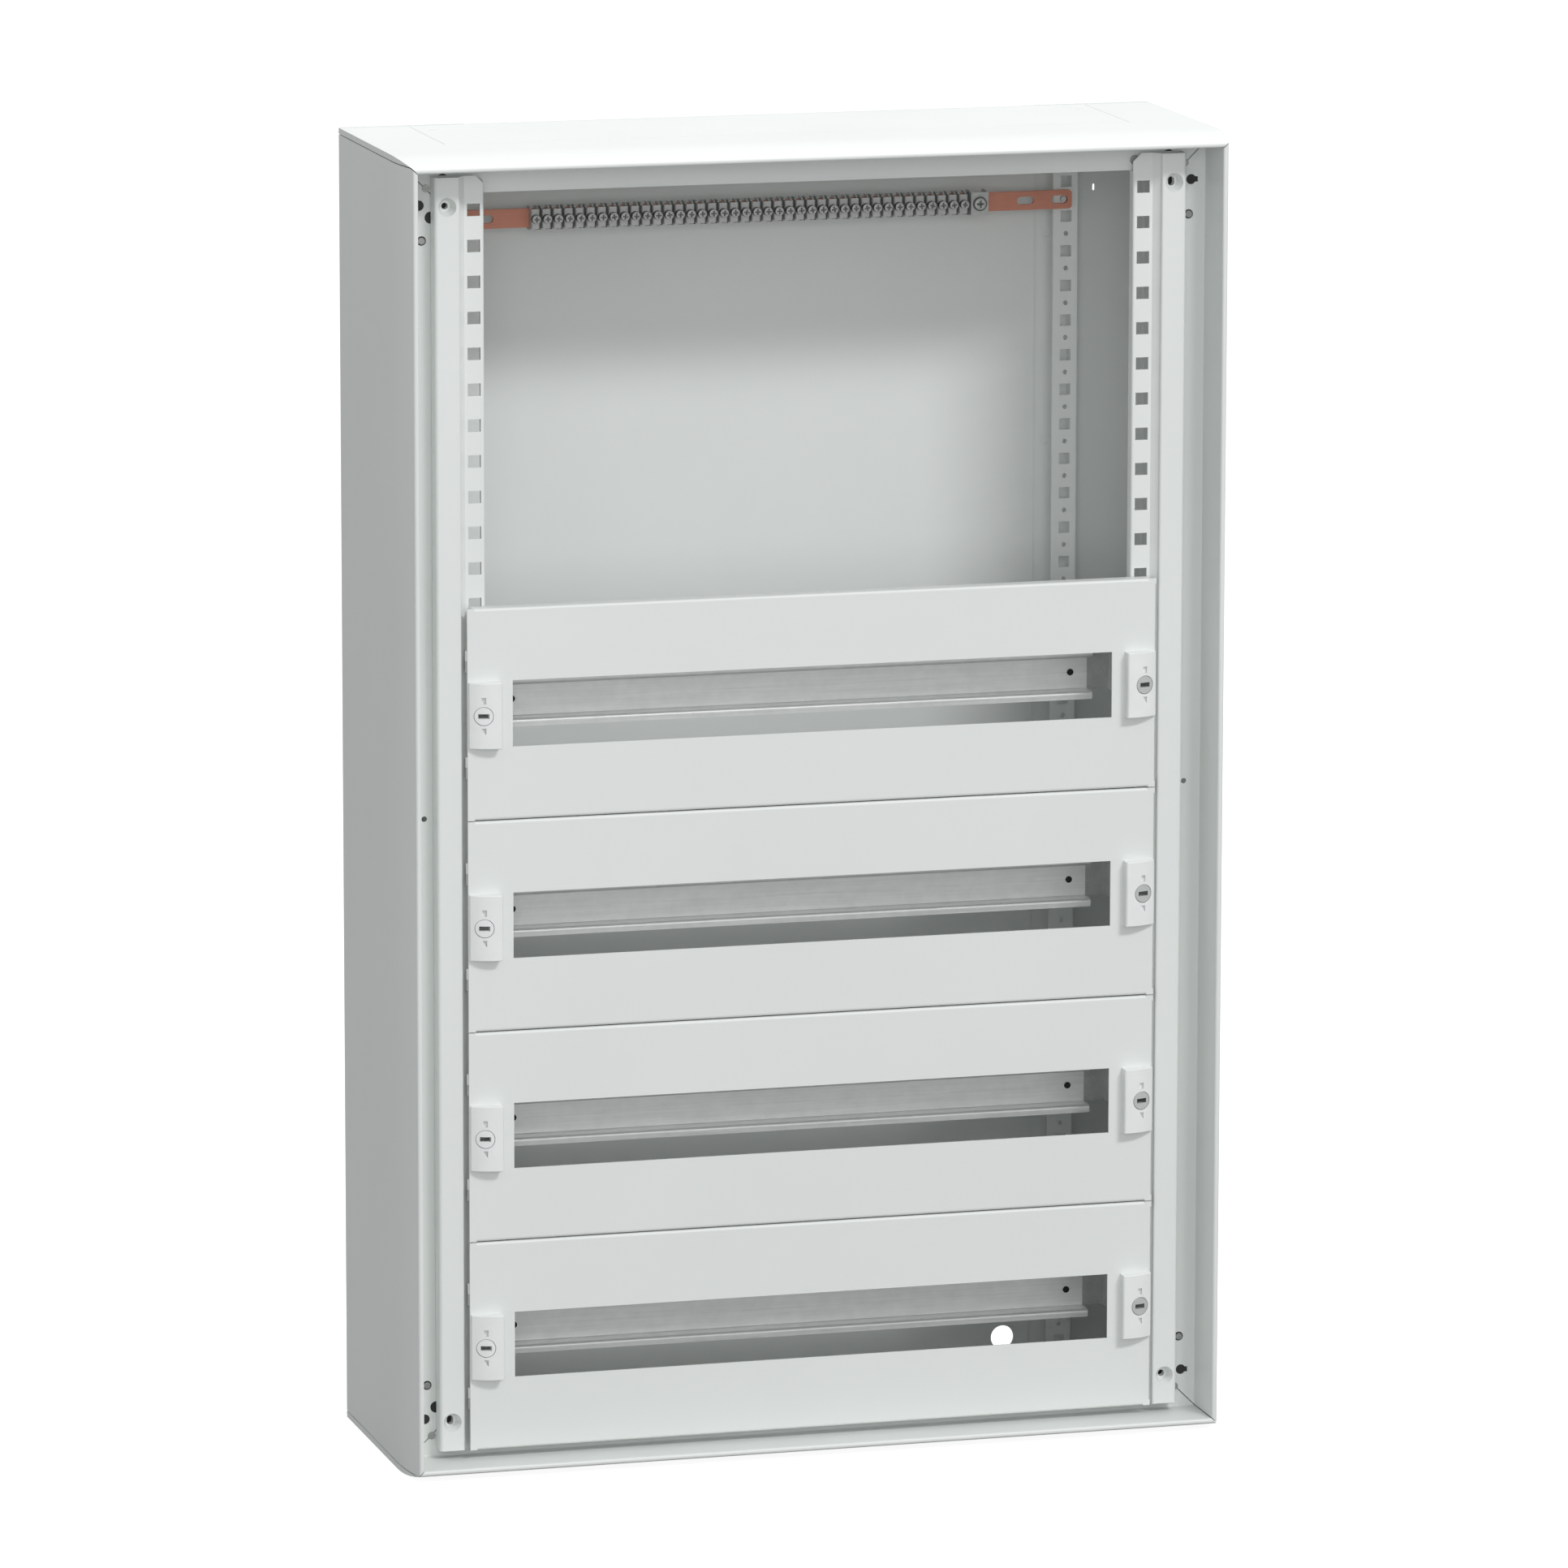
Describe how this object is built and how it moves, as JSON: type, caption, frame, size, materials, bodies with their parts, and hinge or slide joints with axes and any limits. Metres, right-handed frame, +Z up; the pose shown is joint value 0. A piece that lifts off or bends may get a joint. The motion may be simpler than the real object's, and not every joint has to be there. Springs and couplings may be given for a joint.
{
  "type": "electrical distribution cabinet",
  "caption": "Shallow wall-mounted electrical distribution cabinet with hinged front plates over device rails, an open upper bay and an earth bar.",
  "frame": {"origin": "middle of the base, at half the depth", "axes": "+X to the right seen from the front, +Y from the open front back to the wall, +Z up"},
  "size_m": [0.595, 0.205, 0.93],
  "materials": {
    "shell_paint": "fine-textured light grey-white powder coat",
    "plate_paint": "fine-textured light grey-white powder coat",
    "upright_paint": "fine-textured light grey-white powder coat",
    "lock_plastic": "satin moulded plastic",
    "knob_grey": "satin moulded plastic",
    "zinc": "zinc plated",
    "rail_steel": "passivated zinc",
    "copper": "bare copper, matt",
    "plated_steel": "nickel plated, satin",
    "rivet_steel": "plain steel",
    "black_screw": "black oxide",
    "black_plastic": "black moulded plastic"
  },
  "bodies": {
    "cabinet": {"back_panel": "shell_paint", "bottom_gland_plate": "shell_paint", "bottom_panel": "shell_paint", "corner_gussets": "black_plastic", "corner_rivets": "rivet_steel", "din_rail_1": "rail_steel", "din_rail_2": "rail_steel", "din_rail_3": "rail_steel", "din_rail_4": "rail_steel", "earth_bar": "copper", "earth_bar_studs": "plated_steel", "earth_terminal_clamps": "plated_steel", "earth_terminal_screws": "plated_steel", "flange_screws": "rivet_steel", "hinge_lugs": "zinc", "left_front_upright": "upright_paint", "left_rear_upright": "upright_paint", "left_side_panel": "shell_paint", "main_earth_clamp": "plated_steel", "main_earth_screw": "plated_steel", "rail_brackets": "zinc", "rail_screws": "black_screw", "right_front_upright": "upright_paint", "right_rear_upright": "upright_paint", "right_side_panel": "shell_paint", "seam_rivets": "rivet_steel", "top_gland_plate": "shell_paint", "top_panel": "shell_paint", "upright_foot_screws": "black_screw"},
    "plate_1": {"front_plate_1": "plate_paint", "lock_cover_left_1": "lock_plastic", "lock_cover_right_1": "lock_plastic"},
    "lock_left_1": {"lock_knob_left_1": "lock_plastic", "lock_cam_left_1": "zinc"},
    "lock_right_1": {"lock_knob_right_1": "knob_grey", "lock_cam_right_1": "zinc"},
    "plate_2": {"front_plate_2": "plate_paint", "lock_cover_left_2": "lock_plastic", "lock_cover_right_2": "lock_plastic"},
    "lock_left_2": {"lock_knob_left_2": "lock_plastic", "lock_cam_left_2": "zinc"},
    "lock_right_2": {"lock_knob_right_2": "knob_grey", "lock_cam_right_2": "zinc"},
    "plate_3": {"front_plate_3": "plate_paint", "lock_cover_left_3": "lock_plastic", "lock_cover_right_3": "lock_plastic"},
    "lock_left_3": {"lock_knob_left_3": "lock_plastic", "lock_cam_left_3": "zinc"},
    "lock_right_3": {"lock_knob_right_3": "knob_grey", "lock_cam_right_3": "zinc"},
    "plate_4": {"front_plate_4": "plate_paint", "lock_cover_left_4": "lock_plastic", "lock_cover_right_4": "lock_plastic"},
    "lock_left_4": {"lock_knob_left_4": "lock_plastic", "lock_cam_left_4": "zinc"},
    "lock_right_4": {"lock_knob_right_4": "knob_grey", "lock_cam_right_4": "zinc"}
  },
  "joints": [
    {"name": "plate_1_hinge", "type": "hinge", "parent": "cabinet", "child": "plate_1", "pos_m": [-0.2493, -0.075, 0.54], "axis": [0, 0, -1], "range_deg": [0, 90]},
    {"name": "lock_left_1_turn", "type": "hinge", "parent": "plate_1", "child": "lock_left_1", "pos_m": [-0.24, -0.0781, 0.54], "axis": [0, 1, 0], "range_deg": [0, 90]},
    {"name": "lock_right_1_turn", "type": "hinge", "parent": "plate_1", "child": "lock_right_1", "pos_m": [0.24, -0.0781, 0.54], "axis": [0, 1, 0], "range_deg": [0, 90]},
    {"name": "plate_2_hinge", "type": "hinge", "parent": "cabinet", "child": "plate_2", "pos_m": [-0.2493, -0.075, 0.39], "axis": [0, 0, -1], "range_deg": [0, 90]},
    {"name": "lock_left_2_turn", "type": "hinge", "parent": "plate_2", "child": "lock_left_2", "pos_m": [-0.24, -0.0781, 0.39], "axis": [0, 1, 0], "range_deg": [0, 90]},
    {"name": "lock_right_2_turn", "type": "hinge", "parent": "plate_2", "child": "lock_right_2", "pos_m": [0.24, -0.0781, 0.39], "axis": [0, 1, 0], "range_deg": [0, 90]},
    {"name": "plate_3_hinge", "type": "hinge", "parent": "cabinet", "child": "plate_3", "pos_m": [-0.2493, -0.075, 0.24], "axis": [0, 0, -1], "range_deg": [0, 90]},
    {"name": "lock_left_3_turn", "type": "hinge", "parent": "plate_3", "child": "lock_left_3", "pos_m": [-0.24, -0.0781, 0.24], "axis": [0, 1, 0], "range_deg": [0, 90]},
    {"name": "lock_right_3_turn", "type": "hinge", "parent": "plate_3", "child": "lock_right_3", "pos_m": [0.24, -0.0781, 0.24], "axis": [0, 1, 0], "range_deg": [0, 90]},
    {"name": "plate_4_hinge", "type": "hinge", "parent": "cabinet", "child": "plate_4", "pos_m": [-0.2493, -0.075, 0.09], "axis": [0, 0, -1], "range_deg": [0, 90]},
    {"name": "lock_left_4_turn", "type": "hinge", "parent": "plate_4", "child": "lock_left_4", "pos_m": [-0.24, -0.0781, 0.09], "axis": [0, 1, 0], "range_deg": [0, 90]},
    {"name": "lock_right_4_turn", "type": "hinge", "parent": "plate_4", "child": "lock_right_4", "pos_m": [0.24, -0.0781, 0.09], "axis": [0, 1, 0], "range_deg": [0, 90]}
  ]
}
